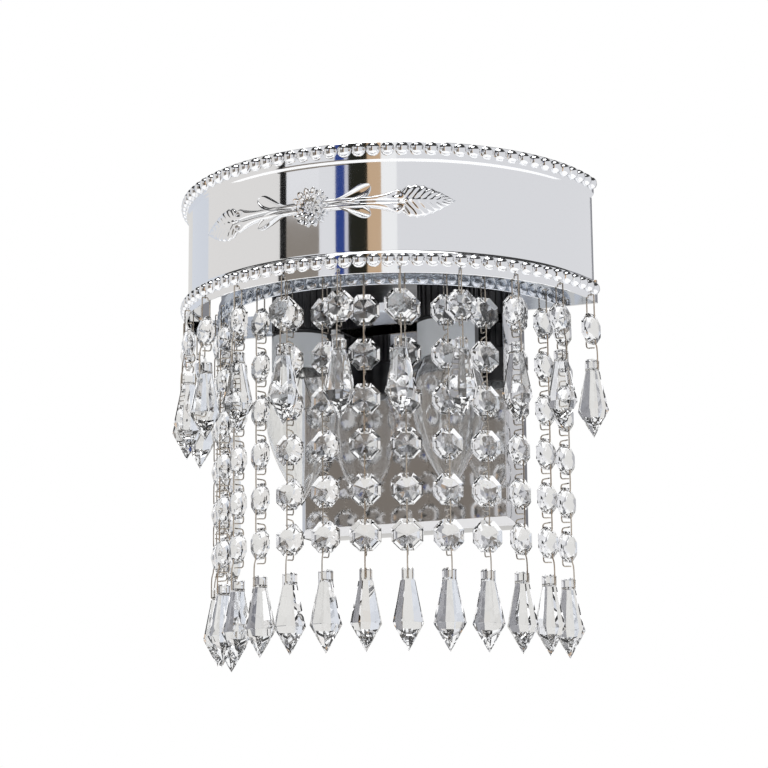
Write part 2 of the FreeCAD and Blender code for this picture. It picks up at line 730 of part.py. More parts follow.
os.makedirs("parts", exist_ok=True)
short_angles = strand_angles(SHORT_STRAND_COUNT, SHORT_FIRST_ANGLE)
long_angles = strand_angles(LONG_STRAND_COUNT, LONG_FIRST_ANGLE)
octagon = octagon_crystal()
pendant = pendant_crystal()
export(wall_bracket(), "wall_bracket")
export(back_plate(), "back_plate")
export(side_screws(), "side_screws")
export(terminal_block(), "terminal_block")
export(cross_strip(), "cross_strip")
export(outer_band(), "outer_band")
export(band_pearls(), "band_pearls")
export(inner_ring(), "inner_ring")
export(ring_pearls(), "ring_pearls")
export(flower_ornament(), "flower_ornament")
export(lamp_bracket(), "lamp_bracket")
export(holder_nuts(), "holder_nuts")
for name, side in (("left", -1), ("right", 1)):
    export(lamp_holder(side), "lamp_holder_" + name)
    export(bulb_glass(side), "bulb_glass_" + name)
    export(bulb_base(side), "bulb_base_" + name)
export_strands()
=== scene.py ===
import json
import math

import bmesh
import bpy
from mathutils import Matrix, Vector


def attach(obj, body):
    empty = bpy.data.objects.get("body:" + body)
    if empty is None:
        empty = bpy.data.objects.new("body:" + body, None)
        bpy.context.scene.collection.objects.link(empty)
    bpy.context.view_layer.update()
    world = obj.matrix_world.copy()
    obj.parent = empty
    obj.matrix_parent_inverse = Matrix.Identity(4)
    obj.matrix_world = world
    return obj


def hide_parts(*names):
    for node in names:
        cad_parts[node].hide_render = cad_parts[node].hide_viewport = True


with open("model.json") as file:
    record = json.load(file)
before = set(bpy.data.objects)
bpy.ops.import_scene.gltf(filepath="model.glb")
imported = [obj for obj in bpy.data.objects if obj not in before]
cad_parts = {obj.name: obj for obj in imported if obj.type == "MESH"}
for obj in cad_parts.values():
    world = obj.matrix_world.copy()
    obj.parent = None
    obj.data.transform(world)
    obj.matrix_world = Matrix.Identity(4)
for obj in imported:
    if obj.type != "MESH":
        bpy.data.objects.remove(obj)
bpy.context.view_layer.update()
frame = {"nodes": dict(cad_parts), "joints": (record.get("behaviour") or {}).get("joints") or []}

MM = 0.001
FIXED_BODY = "lamp_body"

# Camera, as the photograph shows the lamp (millimetres and degrees)
CAMERA_PLACE = Vector((399.9, -1007.5, -219.9)) * MM
CAMERA_AIM = Vector((-18.19, 0.0, 2.09)) * MM
CAMERA_ROLL = 0.5
CAMERA_LENS = 104.8
CAMERA_FAR = 50

# Half-round band and inner ring
BAND_CENTRE_Y = -26.5
BAND_END_Y = -30.0
BAND_RADIUS = 102.4
BAND_LOWER_Z = 25.0
BAND_HEIGHT = 60.4
RING_RADIUS = 86.5
RING_LOWER_Z = 26.4
RING_HEIGHT = 24.0
SHEET = 0.9
RIM_STEP = 1.1
UPPER_RIM = 8.0
LOWER_RIM = 9.2
UPPER_BEAD_INSET = 3.3
LOWER_BEAD_HEIGHT = 6.0
BEAD_FOOT = 3.18
BEAD_RADIUS = 2.75
BEAD_RISE = 2.7
BEAD_PITCH = 6.45
BEAD_SIDES = 14
RING_SKIRT = 2.6
RING_BEAD_HEIGHT = 3.2
RING_BEAD_FLATNESS = 0.26
HOOK_HOLE_HEIGHT = 2.4
HOOK_HOLE_RADIUS = 0.85
BAND_STEPS = 144
RING_STEPS = 120

# Strands
CRYSTAL_HOLE_RADIUS = 0.62
OCTAGON_WIDTH = 14.0
OCTAGON_THICKNESS = 7.2
OCTAGON_GIRDLE = 1.4
OCTAGON_BEVEL = (2.9, 1.75)
OCTAGON_HOLE = 4.8
OCTAGON_PITCH = 20.3
WIRE_REST = 0.225
FIRST_OCTAGON = -16.5 + WIRE_REST
PENDANT_HEAD = 5.3
PENDANT_HEAD_HEIGHT = 5.6
PENDANT_HEAD_CHAMFER = 0.7
PENDANT_OVERLAP = 0.1
PENDANT_NECK = 6.3
PENDANT_WIDTH = 13.4
PENDANT_SHOULDER = 18.6
PENDANT_TIP = 12.4
PENDANT_HOLE = 4.6
PENDANT_LIFT = 2.4
HANGER_DROP = 11.7
PENDANT_TOP = -OCTAGON_HOLE - 2 * WIRE_REST - HANGER_DROP + PENDANT_LIFT
HANGER_REACH = 3.1
HANGER_STUB = 4.6
WIRE_RADIUS = 0.32
WIRE_REACH = 2.3
HOOK_REACH = 2.0
CURL_REACH = 2.9
CURL_HEIGHT = 3.9
LONG_STRAND_OCTAGONS = 6
SHORT_STRAND_OCTAGONS = 1
STRAND_TURN_STEP = 2.4
STRAND_TURN_CYCLE = 9
STRAND_TURN_STRIDE = 4

# Flower ornament
FACE_RADIUS = BAND_RADIUS - RIM_STEP
ORNAMENT_Z = BAND_LOWER_Z + 32.8
STALK_ENDS = (6.5, 43.0)
STALK_HALF_WIDTH = 5.6
LEAF_ENDS = (40.0, 66.0)
LEAF_RISE = 0.8
LEAF_HALF_WIDTH = 7.4
# Side leaves: start and end (along, up), sideways bow, half width
SIDE_LEAVES = [((8, 0.6), (28, 7.6), -1.6, 3.5), ((8, -0.6), (28, -5.6), 1.4, 3.2)]
# Rings of petals: count, reach, half sizes, height above the band, turn
PETAL_RINGS = [(14, 6.7, (2.5, 0.9, 1.5), 0.7, 0.0), (9, 4.2, (2.0, 0.9, 1.4), 1.5, 0.3),
               (6, 1.5, (0.7, 0.8, 0.6), 1.4, 0.1)]
PETAL_TILT = 0.3
FLOWER_DISC_RADIUS = 6.4
FLOWER_DISC_DEPTH = 2.2

# Bulbs and lamp holders
HOLDER_X = 37.5
HOLDER_Y = -56.0
HOLDER_RADIUS = 14.3
HOLDER_LOWER_Z = -1.0
HOLDER_SLEEVE = 18.0
HOLDER_RIBBED = 26.0
HOLDER_CAP = 8.4
HOLDER_CAP_RADIUS = 10.0
HOLDER_RIBS = 24
HOLDER_MOUTH = (12.0, 13.0)
HOLDER_BORE = (8.0, 36.0)
HOLDER_LABEL_TOP = 15.5
HOLDER_LABEL_FRONT = -58.0
HOLDER_EASE = 0.4
HOLDER_CORE = HOLDER_RADIUS - 0.9
HOLDER_SLEEVE_TOP = HOLDER_LOWER_Z + HOLDER_SLEEVE
HOLDER_RIBS_TOP = HOLDER_SLEEVE_TOP + HOLDER_RIBBED
HOLDER_CAP_TOP = HOLDER_RIBS_TOP + HOLDER_CAP
RIB_SIZE = (1.1, 1.5)
RIB_LENGTH = HOLDER_RIBBED - 1.8
RIB_LIFT = 0.1
RIB_PROUD = 0.3
RIB_EASE = 0.35
NIPPLE = (5.0, 6.0)
BULB_TOP_Z = HOLDER_LOWER_Z + HOLDER_BORE[1]
BULB_CAP_RADIUS = 6.95
BULB_CAP_LENGTH = 19.0
BULB_CONTACT = 3.5
BULB_NECK_Z = BULB_TOP_Z - BULB_CONTACT - BULB_CAP_LENGTH
BULB_GLASS_LENGTH = 78.0
BULB_RADIUS = 17.4
BULB_NECK = 7.2
BULB_WALL = 0.8
BULB_WIDEST = 0.4
GLASS_STEPS = 36
FILAMENT_DROP = 30.0
FILAMENT_SPREAD = 5.0
FILAMENT_RADIUS = 0.09
FILAMENT_POINTS = 120
FILAMENT_SAG = 1.6
COIL_RADIUS = 0.5
COIL_STEP = 1.3
LEAD_RADIUS = 0.22
# Lead wire inside the bulb: distance from its axis, and depth below the neck
LEAD_LINE = [(0.9, 12), (1.0, 17), (3.4, FILAMENT_DROP - 7), (FILAMENT_SPREAD, FILAMENT_DROP)]
# Glass stem inside the bulb: radius, and depth below the neck
STEM_LINE = [(0, -0.1), (4.6, -0.1), (3.0, 3), (1.5, 8), (1.3, 14), (1.9, 16), (0, 17)]

# Back plate
PLATE_WIDTH = 112.0
PLATE_HEIGHT = 150.0
PLATE_WALL_DEPTH = 15.4
PLATE_BEVEL_WIDTH = 3.7
PLATE_BEVEL_DEPTH = 4.6
PLATE_SHEET = 1.0
PLATE_EASE = 0.4

# Studio: distances in metres, bearings in degrees
STUDIO_RADIUS = 2.2
STUDIO_LOW = -1.1
STUDIO_HIGH = 1.7
FLOOR_RADIUS = 4.0
CAMERA_BEARING = 22.54
TAUPE = (0.27, 0.24, 0.21)

# Strips of the round studio wall: start and end bearing, lower and upper height, colour. A bearing
# of 0 is straight behind the photographer, and it grows towards the lamp's left as seen from there.
STUDIO_STRIPS = [
    ("backdrop", -210, -150, STUDIO_LOW, STUDIO_HIGH, (0.74, 0.73, 0.71)),
    ("bluish_wall_left", -150, -122, STUDIO_LOW, STUDIO_HIGH, (0.70, 0.73, 0.79)),
    ("warm_grey_left", -122, -64, STUDIO_LOW, STUDIO_HIGH, (0.80, 0.78, 0.76)),
    ("black_edge", -64, -60, STUDIO_LOW, STUDIO_HIGH, (0.015, 0.015, 0.015)),
    ("taupe_wall", -60, -41, STUDIO_LOW, 0.65, TAUPE),
    ("pale_wall", -60, -41, 0.65, STUDIO_HIGH, (0.84, 0.84, 0.86)),
    ("taupe_counter", -41, -25, STUDIO_LOW, 0.5, TAUPE),
    ("window_edge", -41, -32, 0.5, STUDIO_HIGH, (0.80, 0.80, 0.82)),
    ("blue_screen", -32, -27, 0.5, STUDIO_HIGH, (0.03, 0.06, 0.25)),
    ("lavender_edge", -27, -25, 0.5, STUDIO_HIGH, (0.60, 0.60, 0.68)),
    ("dark_stand", -25, -15, STUDIO_LOW, STUDIO_HIGH, (0.02, 0.02, 0.015)),
    ("tan_panel", -15, -8, STUDIO_LOW, STUDIO_HIGH, (0.60, 0.42, 0.27)),
    ("white_card", -8, 0, STUDIO_LOW, STUDIO_HIGH, (0.95, 0.95, 0.95)),
    ("light_grey_right", 0, 131, STUDIO_LOW, STUDIO_HIGH, (0.78, 0.78, 0.80)),
    ("grey_doorway", 131, 150, STUDIO_LOW, STUDIO_HIGH, (0.26, 0.26, 0.28)),
]

# Lamps: name, place, size, power, and whether polished metal shows it
SOFTBOXES = [
    ("key_softbox", (1.6, -1.8, 1.5), 1.4, 30.0, False),
    ("fill_softbox", (-1.8, -1.4, 0.9), 1.6, 18.0, False),
    ("top_softbox", (0.0, -0.4, 1.9), 1.2, 14.0, True),
]

TO_FRONT = Matrix.Rotation(math.pi / 2, 4, "X")


# Shader maths


class Value:
    """A node socket that adds Math nodes when it is used in an expression."""

    def __init__(self, graph, socket):
        self.graph = graph
        self.socket = socket

    def math(self, operation, *others):
        node = self.graph.nodes.new("ShaderNodeMath")
        node.operation = operation
        for i, item in enumerate((self,) + others):
            self.graph.feed(node.inputs[i], item)
        return Value(self.graph, node.outputs[0])

    def __add__(self, other):
        return self.math("ADD", other)

    def __radd__(self, other):
        return self.math("ADD", other)

    def __mul__(self, other):
        return self.math("MULTIPLY", other)

    def __rmul__(self, other):
        return self.math("MULTIPLY", other)

    def __sub__(self, other):
        return self.math("SUBTRACT", other)

    def __rsub__(self, other):
        return (self * -1).math("ADD", other)

    def below(self, edge):
        return self.math("LESS_THAN", edge)


class Graph:
    """The node tree of one material or of the world."""

    def __init__(self, tree):
        self.tree = tree
        self.nodes = tree.nodes
        self.nodes.clear()

    def feed(self, socket, item):
        if isinstance(item, Value):
            self.tree.links.new(item.socket, socket)
        elif item is not None:
            socket.default_value = item

    def node(self, kind, settings=None, values=None, output=0):
        made = self.nodes.new("ShaderNode" + kind)
        for key, value in (settings or {}).items():
            if key == "stops":
                set_stops(made.color_ramp, value)
            else:
                setattr(made, key, value)
        for key, value in (values or {}).items():
            self.feed(made.inputs[key], value)
        return Value(self, made.outputs[output])


def set_stops(ramp, stops):
    while len(ramp.elements) < len(stops):
        ramp.elements.new(1.0)
    for element, (place, shade) in zip(ramp.elements, stops):
        element.position = place
        element.color = shade if len(shade) == 4 else (*shade, 1.0)


def new_material(name):
    material = bpy.data.materials.new(name)
    material.use_nodes = True
    return material, Graph(material.node_tree)


def finish_material(graph, **sockets):
    """Ends a material in a Principled shader with the given sockets."""
    names = {key.replace("_", " "): value for key, value in sockets.items()}
    shader = graph.node("BsdfPrincipled", values=names)
    out = graph.nodes.new("ShaderNodeOutputMaterial")
    graph.tree.links.new(shader.socket, out.inputs["Surface"])


def object_noise(graph, scale, detail=2.0, stretch=None):
    place = graph.node("TexCoord", output="Object")
    if stretch:
        place = graph.node("Mapping", values={"Vector": place, "Scale": stretch})
    return graph.node("TexNoise", values={"Vector": place, "Scale": scale, "Detail": detail})


def bump(graph, height, strength, distance=0.001):
    return graph.node("Bump", values={"Height": height, "Strength": strength, "Distance": distance})


def colour_ramp(graph, place, low, high):
    """Colour that runs between two stops, each a place on the scale and a colour."""
    return graph.node("ValToRGB", {"stops": [low, high]}, {"Fac": place})


def colour_mix(graph, share, first, second):
    return graph.node("Mix", {"data_type": "RGBA"}, {0: share, 6: first, 7: second}, output=2)


def chrome_material():
    material, graph = new_material("polished_chrome")
    haze = object_noise(graph, 60.0, 3.0)
    waves = object_noise(graph, 14.0, 1.0, stretch=(1.0, 1.0, 0.25))
    finish_material(graph, Base_Color=(0.86, 0.87, 0.885, 1), Metallic=1.0,
                    Roughness=0.03 + haze * 0.05, Normal=bump(graph, waves, 0.10, 0.002))
    return material


def mirror_plate_material():
    material, graph = new_material("mirror_plate")
    haze = object_noise(graph, 40.0, 3.0)
    finish_material(graph, Base_Color=(0.66, 0.66, 0.67, 1), Metallic=1.0,
                    Roughness=0.03 + haze * 0.05)
    return material


def ring_painted_shade_material():
    material, graph = new_material("ring_chrome_painted_shade")
    haze = object_noise(graph, 50.0, 3.0)
    # The base colour is a darker, bluer copy of the band's chrome. It is painted shade for the ring,
    # which lies in the band's shadow and mirrors its dark inside.
    finish_material(graph, Base_Color=(0.80, 0.84, 0.90, 1), Metallic=1.0,
                    Roughness=0.16 + haze * 0.08)
    return material


def zinc_material():
    material, graph = new_material("zinc_plated_steel")
    grain = object_noise(graph, 220.0, 4.0, stretch=(0.1, 1.0, 1.0))
    shade = colour_ramp(graph, grain, (0.35, (0.50, 0.50, 0.51)), (0.7, (0.68, 0.68, 0.68)))
    finish_material(graph, Base_Color=shade, Metallic=1.0, Roughness=0.26 + grain * 0.16,
                    Normal=bump(graph, grain, 0.15, 0.0003))
    return material


def wire_material():
    material, graph = new_material("link_wire")
    tarnish = object_noise(graph, 300.0, 2.0)
    shade = colour_ramp(graph, tarnish, (0.3, (0.40, 0.35, 0.29)), (0.75, (0.62, 0.57, 0.50)))
    finish_material(graph, Base_Color=shade, Metallic=1.0, Roughness=0.16 + tarnish * 0.12)
    return material


def crystal_material():
    material, graph = new_material("cut_crystal")
    smear = object_noise(graph, 120.0, 2.0)
    finish_material(graph, Base_Color=(0.985, 0.99, 0.995, 1), Roughness=smear * 0.02,
                    IOR=1.58, Transmission_Weight=1.0)
    return material


def bulb_glass_material():
    material, graph = new_material("bulb_glass")
    smear = object_noise(graph, 60.0, 2.0)
    finish_material(graph, Base_Color=(0.98, 0.985, 0.985, 1), Roughness=smear * 0.03,
                    IOR=1.46, Transmission_Weight=1.0)
    return material


def bakelite_material():
    """Black moulding, with the sleeve's bare pale label on the front."""
    material, graph = new_material("black_bakelite")
    mottle = object_noise(graph, 180.0, 3.0)
    place = graph.node("TexCoord", output="Object")
    height = graph.node("SeparateXYZ", values={"Vector": place}, output="Z")
    front = graph.node("SeparateXYZ", values={"Vector": place}, output="Y")
    label = height.below(HOLDER_LABEL_TOP * MM) * front.below(HOLDER_LABEL_FRONT * MM)
    black = colour_ramp(graph, mottle, (0.3, (0.010, 0.010, 0.011)), (0.8, (0.030, 0.030, 0.032)))
    shade = colour_mix(graph, label, black, (0.80, 0.84, 0.88, 1))
    finish_material(graph, Base_Color=shade, Roughness=0.24 + mottle * 0.14 + label * 0.2)
    return material


def cap_material():
    material, graph = new_material("lamp_cap_metal")
    place = graph.node("TexCoord", output="Object")
    thread = graph.node("TexWave", {"bands_direction": "Z"}, {"Vector": place, "Scale": 55.0})
    finish_material(graph, Base_Color=(0.74, 0.70, 0.58, 1), Metallic=1.0,
                    Roughness=0.2 + thread * 0.15, Normal=bump(graph, thread, 0.6, 0.0008))
    return material


def filament_material():
    material, graph = new_material("filament_wire")
    tone = object_noise(graph, 400.0, 2.0)
    finish_material(graph, Base_Color=(0.30, 0.29, 0.28, 1), Metallic=1.0,
                    Roughness=0.3 + tone * 0.2)
    return material


def terminal_material():
    material, graph = new_material("terminal_plastic")
    grain = object_noise(graph, 500.0, 3.0)
    finish_material(graph, Base_Color=(0.80, 0.79, 0.74, 1), Roughness=0.45 + grain * 0.15,
                    Normal=bump(graph, grain, 0.1, 0.0002))
    return material


# Mesh helpers


def add_piece(name, mesh_maker, material, body, nodes=(), smooth_angle=None):
    """Makes an object in the row frame from a bmesh in millimetres, and sets what it rides on."""
    mesh_maker.verts.ensure_lookup_table()
    bmesh.ops.scale(mesh_maker, vec=(MM, MM, MM), verts=mesh_maker.verts)
    mesh = bpy.data.meshes.new(name)
    mesh_maker.to_mesh(mesh)
    mesh_maker.free()
    mesh.materials.append(material)
    if smooth_angle is not None:
        mesh.shade_smooth()
        mesh.set_sharp_from_angle(angle=math.radians(smooth_angle))
    piece = bpy.data.objects.new(name, mesh)
    bpy.context.scene.collection.objects.link(piece)
    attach(piece, body)
    if nodes:
        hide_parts(*nodes)
    return piece


def closed_profile(bm, points):
    """Edges of a closed outline, from (radius, height) points in the XZ plane."""
    verts = [bm.verts.new((r, 0, z)) for r, z in points]
    edges = [bm.edges.new((a, b)) for a, b in zip(verts, verts[1:] + verts[:1])]
    return verts + edges


def stacked(bm, sides, levels, turn=0.0):
    """Closed many-sided body through (height, radius) levels; a radius of 0 is a point."""
    (base_z, base_r), rest = levels[0], levels[1:]
    made = bmesh.ops.create_circle(bm, cap_ends=True, segments=sides, radius=base_r,
                                   matrix=Matrix.Translation((0, 0, base_z))
                                   @ Matrix.Rotation(turn, 4, "Z"))
    face = made["verts"][0].link_faces[0]
    body = list(made["verts"])
    for (z, r), (last_z, last_r) in zip(rest, levels):
        grown = bmesh.ops.extrude_discrete_faces(bm, faces=[face])
        face = grown["faces"][0]
        verts = list(face.verts)
        size = max(r, 1e-4) / last_r
        bmesh.ops.scale(bm, vec=(size, size, 1), verts=verts)
        bmesh.ops.translate(bm, vec=(0, 0, z - last_z), verts=verts)
        body += verts
    if levels[-1][1] == 0:
        bmesh.ops.pointmerge(bm, verts=list(face.verts), merge_co=(0, 0, levels[-1][0]))
    bmesh.ops.recalc_face_normals(bm, faces=bm.faces)


def combined(first, second, operation):
    """Two closed bodies cut or joined, as a new bmesh."""
    bodies = [work_body(maker) for maker in (first, second)]
    step = bodies[0].modifiers.new("step", "BOOLEAN")
    step.object = bodies[1]
    step.operation = operation
    step.solver = "EXACT"
    result = bmesh.new()
    result.from_object(bodies[0], bpy.context.evaluated_depsgraph_get())
    for body in bodies:
        mesh = body.data
        bpy.data.objects.remove(body)
        bpy.data.meshes.remove(mesh)
    return result


def work_body(maker):
    mesh = bpy.data.meshes.new("work")
    maker.to_mesh(mesh)
    maker.free()
    body = bpy.data.objects.new("work", mesh)
    bpy.context.scene.collection.objects.link(body)
    return body


def drilled(bm, radius, depth, places, sides=8):
    """The body with round holes along the local Z axis of each given place."""
    cutters = bmesh.new()
    for place in places:
        bmesh.ops.create_cone(cutters, cap_ends=True, segments=sides, radius1=radius, radius2=radius,
                              depth=depth, matrix=place)
    return combined(bm, cutters, "DIFFERENCE")


def ease_edges(bm, edges, offset, segments):
    """Rounds the edges, or chamfers them where one segment is given."""
    bmesh.ops.bevel(bm, geom=edges, offset=offset, offset_type="OFFSET", segments=segments,
                    profile=0.5, affect="EDGES", clamp_overlap=True, material=-1)


def turned(points, steps=64):
    """Round body from a line of (radius, height) points, closed on the axis or on itself."""
    bm = bmesh.new()
    verts = [bm.verts.new((r, 0, z)) for r, z in points]
    edges = [bm.edges.new(pair) for pair in zip(verts, verts[1:])]
    bmesh.ops.spin(bm, geom=verts + edges, cent=(0, 0, 0), axis=(0, 0, 1),
                   angle=2 * math.pi, steps=steps, use_merge=True)
    bmesh.ops.remove_doubles(bm, verts=bm.verts, dist=0.001)
    bmesh.ops.recalc_face_normals(bm, faces=bm.faces)
    return bm


def threaded(radius, depth, low, high, turns, samples=6):
    """Wavy line of (radius, height) points, for a turned thread."""
    count = turns * samples
    return [(radius - depth * (0.5 - 0.5 * math.cos(2 * math.pi * i / samples)),
             low + (high - low) * i / count) for i in range(count + 1)]


def add_copy(bm, mesh, matrix):
    """Adds a copy of a master mesh to a bmesh, moved by a matrix."""
    before = len(bm.verts)
    bm.from_mesh(mesh)
    bm.verts.ensure_lookup_table()
    bmesh.ops.transform(bm, matrix=matrix, verts=bm.verts[before:])


def master_mesh(bm, name):
    mesh = bpy.data.meshes.new(name)
    bm.to_mesh(mesh)
    bm.free()
    return mesh


def facing_out(angle, radius, height):
    """Matrix that puts a shape which faces -Y on the band's circle, facing outwards."""
    place = Vector((radius * math.cos(angle), BAND_CENTRE_Y - radius * math.sin(angle), height))
    return Matrix.Translation(place) @ Matrix.Rotation(math.pi / 2 - angle, 4, "Z")


# Band and inner ring


def end_angle(radius):
    return math.asin((BAND_CENTRE_Y - BAND_END_Y) / radius)


def spun_sheet(points, radius, steps):
    """Half-round sheet from a closed profile, flat at both ends."""
    bm = bmesh.new()
    start = end_angle(radius)
    profile = closed_profile(bm, points)
    bmesh.ops.rotate(bm, cent=(0, 0, 0), matrix=Matrix.Rotation(-start, 3, "Z"), verts=bm.verts)
    face = bmesh.ops.contextual_create(bm, geom=profile)["faces"]
    bmesh.ops.spin(bm, geom=face, cent=(0, 0, 0), axis=(0, 0, 1),
                   angle=-(math.pi - 2 * start), steps=steps)
    bmesh.ops.translate(bm, vec=(0, BAND_CENTRE_Y, 0), verts=bm.verts)
    bmesh.ops.recalc_face_normals(bm, faces=bm.faces)
    return bm


def sheet_profile(outer):
    """Closed outline of a thin sheet from its outer side, with eased edges."""
    last = len(outer) - 1
    inner = [(r - SHEET + (0.3 if i in (0, last) else 0), z) for i, (r, z) in enumerate(outer)]
    return outer + inner[::-1]


def lower_rim_line(radius, low):
    """Outer side of the raised lower rim and the eased step above it, from the bottom up.

    The extra points beside each corner keep the level parts level in the shading.
    """
    step = low + LOWER_RIM
    mid = radius - RIM_STEP
    return [(radius - 0.15, low), (radius, low + 0.2), (radius, low + 0.5), (radius, step - 0.6),
            (radius, step - 0.3), (radius - 0.25, step + 0.2), (mid + 0.2, step + 0.8),
            (mid, step + 1.3), (mid, step + 1.7)]


def band_profile():
    low, high = BAND_LOWER_Z, BAND_LOWER_Z + BAND_HEIGHT
    mid = BAND_RADIUS - RIM_STEP
    step = high - UPPER_RIM
    return sheet_profile(lower_rim_line(BAND_RADIUS, low) + [
        (mid, step - 1.7), (mid, step - 1.3), (mid + 0.2, step - 0.8), (BAND_RADIUS - 0.25, step - 0.2),
        (BAND_RADIUS, step + 0.3), (BAND_RADIUS, step + 0.6), (BAND_RADIUS, high - 0.5),
        (BAND_RADIUS, high - 0.2), (BAND_RADIUS - 0.15, high)])


def ring_profile():
    low, high = RING_LOWER_Z - RING_SKIRT, RING_LOWER_Z + RING_HEIGHT
    mid = RING_RADIUS - RIM_STEP
    return sheet_profile(lower_rim_line(RING_RADIUS, low)
                         + [(mid, high - 0.5), (mid, high - 0.2), (mid - 0.15, high)])


def hook_angles(prefix):
    """Angles round the band's circle of the strands whose joints have this prefix."""
    angles = []
    for joint in frame["joints"]:
        if joint["name"].startswith(prefix):
            x, y = joint["pos_m"][0], joint["pos_m"][1]
            angles.append(math.atan2(BAND_CENTRE_Y * MM - y, x))
    return angles


def punched(bm, radius, lower_z, angles):
    """The sheet with a round hook hole at each strand."""
    places = [facing_out(angle, radius, lower_z + HOOK_HOLE_HEIGHT) @ TO_FRONT for angle in angles]
    return drilled(bm, HOOK_HOLE_RADIUS, 6 * SHEET, places, 12)


def pearl_mesh():
    """Bead pressed up from a flat round foot, facing -Y."""
    dome = [(BEAD_RADIUS * math.cos(a), BEAD_RISE * (0.3 + 0.7 * math.sin(a)))
            for a in (0.0, 0.45, 0.95, math.pi / 2)]
    bm = turned([(0, -0.2), (BEAD_FOOT, -0.2), (BEAD_FOOT, 0.45), (BEAD_FOOT - 0.35, 0.7)]
                + dome[:-1] + [(0, BEAD_RISE)], BEAD_SIDES)
    bmesh.ops.transform(bm, matrix=TO_FRONT, verts=bm.verts)
    return master_mesh(bm, "pearl")


def add_pearls(bm, pearl, radius, height, flatness=1.0):
    """Row of beads round the sheet, at about the same pitch everywhere."""
    first = end_angle(radius) + BEAD_FOOT / radius
    count = int(radius * (math.pi - 2 * first) / BEAD_PITCH) + 1
    step = (math.pi - 2 * first) / (count - 1)
    for i in range(count):
        place = facing_out(first + i * step, radius, height)
        add_copy(bm, pearl, place @ Matrix.Diagonal((1, flatness, 1, 1)))


def make_band(pearl, chrome):
    bm = spun_sheet(band_profile(), BAND_RADIUS, BAND_STEPS)
    bm = punched(bm, BAND_RADIUS, BAND_LOWER_Z, hook_angles("short_strand"))
    add_pearls(bm, pearl, BAND_RADIUS, BAND_LOWER_Z + LOWER_BEAD_HEIGHT)
    add_pearls(bm, pearl, BAND_RADIUS, BAND_LOWER_Z + BAND_HEIGHT - UPPER_BEAD_INSET)
    return add_piece("band", bm, chrome, FIXED_BODY,
                     ["outer_band", "band_pearls"], 35)


def make_ring(pearl, chrome):
    bm = spun_sheet(ring_profile(), RING_RADIUS, RING_STEPS)
    bm = punched(bm, RING_RADIUS, RING_LOWER_Z, hook_angles("long_strand"))
    add_pearls(bm, pearl, RING_RADIUS, RING_LOWER_Z - RING_SKIRT + RING_BEAD_HEIGHT,
               RING_BEAD_FLATNESS)
    return add_piece("ring", bm, chrome, FIXED_BODY,
                     ["inner_ring", "ring_pearls"], 35)


# Flower ornament


def on_band(along, out, up):
    """Place on the ornament: millimetres along the band, out of its face, and up."""
    angle = math.pi / 2 - along / FACE_RADIUS
    reach = FACE_RADIUS + out
    return (reach * math.cos(angle), BAND_CENTRE_Y - reach * math.sin(angle), ORNAMENT_Z + up)


def add_leaf(bm, start, end, bow, half_width, outline, relief, columns, rows):
    """Raised leaf on the band from start to end, both (along, up), bowed sideways.

    outline(t) gives the share of the half width, and relief(t, v) the height above the band,
    with t from the stalk to the tip and v from -1 to 1 across.
    """
    grid = bmesh.ops.create_grid(bm, x_segments=columns, y_segments=rows, size=1.0)["verts"]
    faces = list({face for vert in grid for face in vert.link_faces})
    raised = bmesh.ops.extrude_face_region(bm, geom=faces, use_keep_orig=True)["geom"]
    tops = [item for item in raised if isinstance(item, bmesh.types.BMVert)]
    chord = Vector(end) - Vector(start)
    across = Vector((-chord.y, chord.x)).normalized()
    for verts, top in ((grid, False), (tops, True)):
        for vert in verts:
            t, v = (vert.co.x + 1) / 2, vert.co.y
            middle = Vector(start) + chord * t + across * bow * math.sin(math.pi * t)
            place = middle + across * v * half_width * outline(t)
            vert.co = on_band(place.x, relief(t, v) if top else -0.2, place.y)


def leaf_outline(t):
    """Full leaf with a round base and a lightly toothed edge, drawn to a point."""
    body = math.sin(math.pi * min(0.99, 0.004 + t) ** 0.58) ** 0.85
    return max(0.04, body) * (1 + 0.035 * math.sin(2 * math.pi * 7 * t))


def veined(t, v):
    """Arched leaf with a midrib and veins that run out towards the tip."""
    side = abs(v)
    arch = 1.3 * math.sqrt(max(0.0, 1 - side ** 2))
    vein = 0.5 + 0.5 * math.sin(2 * math.pi * (9 * t - 2.2 * side))
    midrib = 0.7 * max(0.0, 1 - side / 0.13) * (1 - t)
    body = arch * math.sin(math.pi * (0.12 + 0.8 * t))
    return 0.25 + body + 0.55 * vein * side ** 0.4 * (1 - side ** 3) + midrib


def lobe_outline(t):
    """Spoon shape: a narrow stem that opens into a round end."""
    if t < 0.76:
        return 0.25 + 0.75 * (0.5 - 0.5 * math.cos(math.pi * t / 0.76)) ** 1.3
    return max(0.1, math.sqrt(max(0.0, 1 - ((t - 0.76) / 0.24) ** 2)))


def cupped(t, v):
    """Hollow leaf with a rolled rim."""
    rim = math.exp(-((abs(v) - 0.72) / 0.2) ** 2)
    return 0.3 + (0.5 + 1.5 * rim) * math.sin(math.pi * (0.15 + 0.75 * t)) * (1 - v ** 8)


def stalk_outline(t):
    """Even stalk that opens into two scrolls before the leaf."""
    flare = max(0.0, (t - 0.55) / 0.45)
    return 0.48 + 0.52 * min(1.0, flare * 1.25) ** 1.6 - 0.25 * max(0.0, flare - 0.85) / 0.15


def grooved(t, v):
    """Two round ridges side by side, ending in scrolls with hollow middles."""
    side = abs(v)
    ridge = 1.5 * math.sin(math.pi * side) ** 0.6
    hollow = math.exp(-((t - 0.90) / 0.05) ** 2 - ((side - 0.56) / 0.22) ** 2)
    return 0.25 + ridge * (1 - 0.95 * hollow)


